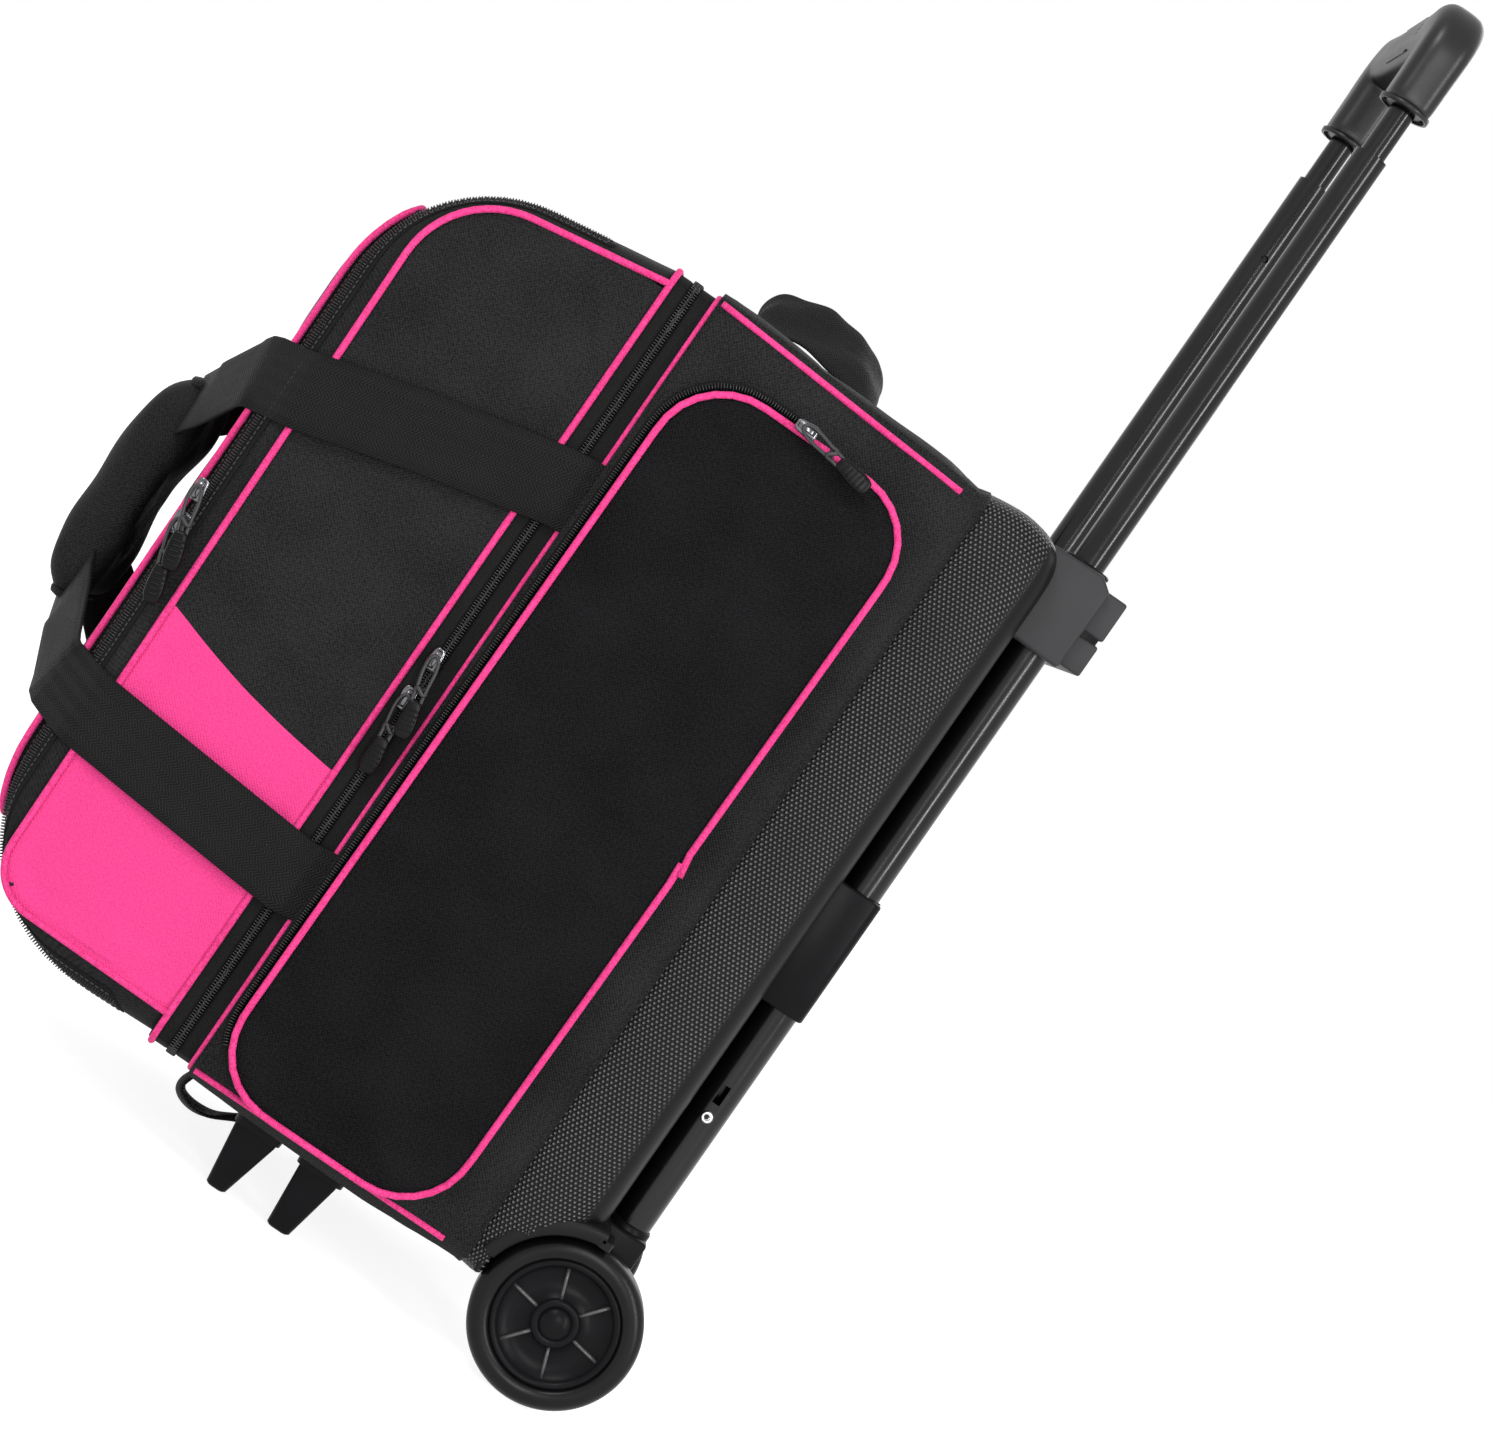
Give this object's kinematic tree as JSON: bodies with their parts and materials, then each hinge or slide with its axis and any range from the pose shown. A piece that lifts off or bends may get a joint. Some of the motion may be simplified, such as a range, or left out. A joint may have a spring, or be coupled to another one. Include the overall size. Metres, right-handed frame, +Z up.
{
  "type": "bowling ball bag",
  "caption": "Rolling bowling ball bag: soft bag with piped lid, side pocket and carry straps on a hard base with wheels and telescopic pull handle.",
  "frame": {"origin": "on the floor under the middle of the upright bag's box", "axes": "+Z up along the handle tubes, +X to the side with the pocket, -Y to the lid at the front"},
  "size_m": [0.2731, 0.4822, 0.8585],
  "materials": {
    "black_fabric": "600-denier polyester weave",
    "webbing": "ribbed webbing",
    "zip_tape": "woven tape with nylon coil",
    "pink_piping": "fabric-covered cord",
    "coated_base": "embossed coated fabric, semi-gloss",
    "foam": "foam covered with knitted lining",
    "painted_tube": "gloss black",
    "black_plastic": "moulded satin",
    "rim_plastic": "moulded",
    "tyre": "smooth",
    "steel": "bright",
    "soft_grip": "soft touch",
    "button_plastic": "moulded",
    "slider_metal": "gunmetal",
    "pull_rubber": "ribbed"
  },
  "bodies": {
    "root": {"base_tray": "coated_base", "ball_cradle": "foam", "base_binding": "webbing", "near_side_panel": "black_fabric", "far_side_panel": "black_fabric", "top_end_panel": "black_fabric", "bottom_end_panel": "black_fabric", "body_zip_tape": "zip_tape", "body_piping": "pink_piping", "pocket_gusset": "black_fabric", "pocket_panel": "black_fabric", "pocket_piping": "pink_piping", "near_outer_tube": "painted_tube", "far_outer_tube": "painted_tube", "tube_rivets": "steel", "top_bracket": "black_plastic", "middle_clamp": "black_plastic", "near_wheel_bracket": "black_plastic", "far_wheel_bracket": "black_plastic", "axle": "steel", "stand_feet": "black_plastic", "top_grab_strap": "webbing", "bottom_grab_strap": "webbing"},
    "near_wheel": {"near_rim": "rim_plastic", "near_tyre": "tyre"},
    "far_wheel": {"far_rim": "rim_plastic", "far_tyre": "tyre"},
    "handle_middle": {"near_middle_tube": "painted_tube", "far_middle_tube": "painted_tube", "middle_lock_guides": "black_plastic"},
    "handle_inner": {"near_inner_tube": "painted_tube", "far_inner_tube": "painted_tube", "inner_lock_guides": "black_plastic", "grip": "soft_grip"},
    "grip_button": {"release_button": "button_plastic", "release_rods": "steel"},
    "lid": {"lid_floor": "black_fabric", "lid_near_side": "black_fabric", "lid_far_side": "black_fabric", "lid_top_end": "black_fabric", "lid_bottom_end": "black_fabric", "lid_zip_tape": "zip_tape", "lid_piping": "pink_piping", "far_strap_lower": "webbing"},
    "flap": {"flap_panel": "black_fabric", "flap_piping": "pink_piping", "far_strap_upper": "webbing"},
    "strap_root": {"near_strap_ends": "webbing"},
    "strap_loop": {"near_strap": "webbing", "handle_wrap": "black_fabric"},
    "main_upper_slider": {"main_upper_slider": "slider_metal"},
    "main_upper_pull": {"main_upper_pull": "pull_rubber"},
    "main_lower_slider": {"main_lower_slider": "slider_metal"},
    "main_lower_pull": {"main_lower_pull": "pull_rubber"},
    "top_upper_slider": {"top_upper_slider": "slider_metal"},
    "top_upper_pull": {"top_upper_pull": "pull_rubber"},
    "top_lower_slider": {"top_lower_slider": "slider_metal"},
    "top_lower_pull": {"top_lower_pull": "pull_rubber"},
    "pocket_slider": {"pocket_slider": "slider_metal"},
    "pocket_pull": {"pocket_pull": "pull_rubber"}
  },
  "joints": [
    {"name": "near_wheel_spin", "type": "hinge", "parent": "root", "child": "near_wheel", "pos_m": [0.0937, 0.19625, 0.045], "axis": [1, 0, 0], "continuous": true},
    {"name": "far_wheel_spin", "type": "hinge", "parent": "root", "child": "far_wheel", "pos_m": [-0.1203, 0.19625, 0.045], "axis": [1, 0, 0], "continuous": true},
    {"name": "handle_lower_stage", "type": "slide", "parent": "root", "child": "handle_middle", "axis": [0, 0, 1], "range_m": [-0.25, 0]},
    {"name": "handle_upper_stage", "type": "slide", "parent": "handle_middle", "child": "handle_inner", "axis": [0, 0, 1], "range_m": [0, 0.22]},
    {"name": "release_button_press", "type": "slide", "parent": "handle_inner", "child": "grip_button", "axis": [0, 0, 1], "range_m": [-0.004, 0], "stiffness_N_per_m": 900, "springref_m": 0.004},
    {"name": "lid_hinge", "type": "hinge", "parent": "root", "child": "lid", "pos_m": [-0.1343, -0.04, 0.284], "axis": [0, 0, -1], "range_deg": [0, 95], "deforming": ["near_strap_ends", "near_strap", "handle_wrap"]},
    {"name": "flap_hinge", "type": "hinge", "parent": "lid", "child": "flap", "pos_m": [-0.1343, -0.19325, 0.284], "axis": [0, 0, -1], "range_deg": [0, 110]},
    {"name": "near_strap_drop", "type": "hinge", "parent": "root", "child": "strap_root", "pos_m": [0.1126, -0.025, 0.273], "axis": [0, 0, 1], "range_deg": [0, 60]},
    {"name": "near_strap_swing", "type": "hinge", "parent": "strap_root", "child": "strap_loop", "pos_m": [0.1126, -0.04025, 0.273], "axis": [0, 0, 1], "range_deg": [0, 50]},
    {"name": "main_upper_zip", "type": "slide", "parent": "root", "child": "main_upper_slider", "axis": [0, 0, 1], "range_m": [0, 0.19]},
    {"name": "main_upper_pull_swing", "type": "hinge", "parent": "main_upper_slider", "child": "main_upper_pull", "pos_m": [0.113, -0.042, 0.288], "axis": [1, 0, 0], "range_deg": [-45, 8]},
    {"name": "main_lower_zip", "type": "slide", "parent": "root", "child": "main_lower_slider", "axis": [0, 0, 1], "range_m": [-0.18, 0]},
    {"name": "main_lower_pull_swing", "type": "hinge", "parent": "main_lower_slider", "child": "main_lower_pull", "pos_m": [0.113, -0.043, 0.264], "axis": [1, 0, 0], "range_deg": [-45, 8]},
    {"name": "top_upper_zip", "type": "slide", "parent": "lid", "child": "top_upper_slider", "axis": [0, 0, 1], "range_m": [0, 0.13]},
    {"name": "top_upper_pull_swing", "type": "hinge", "parent": "top_upper_slider", "child": "top_upper_pull", "pos_m": [0.111, -0.185, 0.291], "axis": [1, 0, 0], "range_deg": [-60, 45]},
    {"name": "top_lower_zip", "type": "slide", "parent": "lid", "child": "top_lower_slider", "axis": [0, 0, 1], "range_m": [-0.16, 0]},
    {"name": "top_lower_pull_swing", "type": "hinge", "parent": "top_lower_slider", "child": "top_lower_pull", "pos_m": [0.111, -0.184, 0.272], "axis": [1, 0, 0], "range_deg": [-60, 45]},
    {"name": "pocket_zip", "type": "slide", "parent": "root", "child": "pocket_slider", "axis": [0, 1, 0], "range_m": [-0.03, 0]},
    {"name": "pocket_pull_swing", "type": "hinge", "parent": "pocket_slider", "child": "pocket_pull", "pos_m": [0.1314, 0.044, 0.485], "axis": [1, 0, 0], "range_deg": [-75, 10]}
  ],
  "couplings": [
    {"joint": "near_strap_drop", "follows": "lid_hinge", "ratio": 0.63158},
    {"joint": "near_strap_swing", "follows": "flap_hinge", "ratio": 0.45454}
  ]
}
